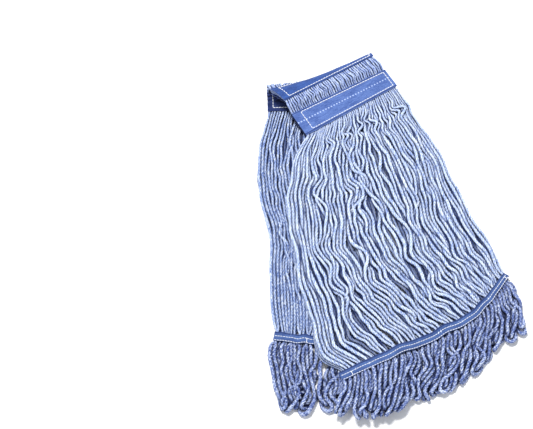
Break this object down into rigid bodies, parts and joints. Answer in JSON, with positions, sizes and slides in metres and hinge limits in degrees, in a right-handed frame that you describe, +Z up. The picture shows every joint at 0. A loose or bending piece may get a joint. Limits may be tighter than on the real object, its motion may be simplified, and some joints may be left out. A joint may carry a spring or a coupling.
{
  "type": "string mop head",
  "caption": "Looped-end wet mop head with a wide sewn headband and tail bands, folded in half and lying flat; no handle.",
  "frame": {"origin": "bottom centre of the whole mop head's bounding box as it lies on the floor", "axes": "+Z up from the floor; the tails point to -Y and the headband is at +Y; +X to the right seen from the tails"},
  "size_m": [0.368, 0.5424, 0.0458],
  "materials": {
    "yarn": "four-ply heathered cotton blend yarn, light denim blue",
    "core_yarn": "the same yarn, pressed flat under the sewn bands",
    "headband_fabric": "close-woven polyester mesh strip, mid blue",
    "lining_fabric": "woven inner tape, mid blue in shade",
    "tail_tape": "narrow woven tape, blue",
    "thread": "white polyester sewing thread"
  },
  "bodies": {
    "back_free_fringe": {"back_fringe_1": "yarn", "back_fringe_2": "yarn"},
    "back_half": {"back_fringe_3": "yarn", "back_fringe_4": "yarn", "back_fringe_5": "yarn", "back_headband_lining": "lining_fabric", "back_headband_lining_stitching": "thread", "back_headband_outer_stitching": "thread", "back_headband_pressed_yarn": "core_yarn", "back_headband_strip": "headband_fabric", "back_skirt_1": "yarn", "back_skirt_2": "yarn", "back_skirt_3": "yarn", "back_skirt_4": "yarn", "back_skirt_5": "yarn", "back_tail_bartack_left": "thread", "back_tail_bartack_right": "thread", "back_tail_stitch_lower": "thread", "back_tail_stitch_upper": "thread", "back_tail_tape_under": "tail_tape", "back_tail_tape_upper": "tail_tape", "back_tail_yarn": "core_yarn", "rear_exposed_yarn_lower": "yarn"},
    "front_headband": {"crown_headband_lining": "lining_fabric", "crown_headband_lining_stitching": "thread", "crown_headband_outer_stitching": "thread", "crown_headband_pressed_yarn": "core_yarn", "crown_headband_strip": "headband_fabric", "front_exposed_yarn": "yarn", "front_headband_lining": "lining_fabric", "front_headband_lining_stitching": "thread", "front_headband_outer_stitching": "thread", "front_headband_pressed_yarn": "core_yarn", "front_headband_strip": "headband_fabric", "rear_exposed_yarn_upper": "yarn"},
    "front_fringe": {"front_fringe_1": "yarn", "front_fringe_2": "yarn", "front_fringe_3": "yarn", "front_fringe_4": "yarn", "front_fringe_5": "yarn", "front_fringe_6": "yarn"},
    "front_skirt": {"front_skirt_1": "yarn", "front_skirt_2": "yarn", "front_skirt_3": "yarn", "front_skirt_4": "yarn", "front_skirt_5": "yarn", "front_skirt_6": "yarn", "front_tail_bartack_left": "thread", "front_tail_bartack_right": "thread", "front_tail_stitch_lower": "thread", "front_tail_stitch_upper": "thread", "front_tail_tape_under": "tail_tape", "front_tail_tape_upper": "tail_tape", "front_tail_yarn": "core_yarn"}
  },
  "joints": [
    {"name": "headband_fold", "type": "hinge", "parent": "back_half", "child": "front_headband", "pos_m": [-0.101, 0.24796, 0.027], "axis": [-0.9536, -0.301, 0], "range_deg": [0, 120]},
    {"name": "front_skirt_bend", "type": "hinge", "parent": "front_headband", "child": "front_skirt", "pos_m": [-0.05125, 0.18171, 0.0243], "axis": [-0.8461, -0.533, 0], "range_deg": [0, 55]},
    {"name": "front_fringe_bend", "type": "hinge", "parent": "front_skirt", "child": "front_fringe", "pos_m": [0.05015, -0.14174, 0.024], "axis": [-0.8253, -0.5648, 0], "range_deg": [0, 70]},
    {"name": "back_fringe_bend", "type": "hinge", "parent": "back_half", "child": "back_free_fringe", "pos_m": [-0.12445, -0.16074, 0.0123], "axis": [-0.9951, 0.0987, 0], "range_deg": [0, 75]}
  ]
}
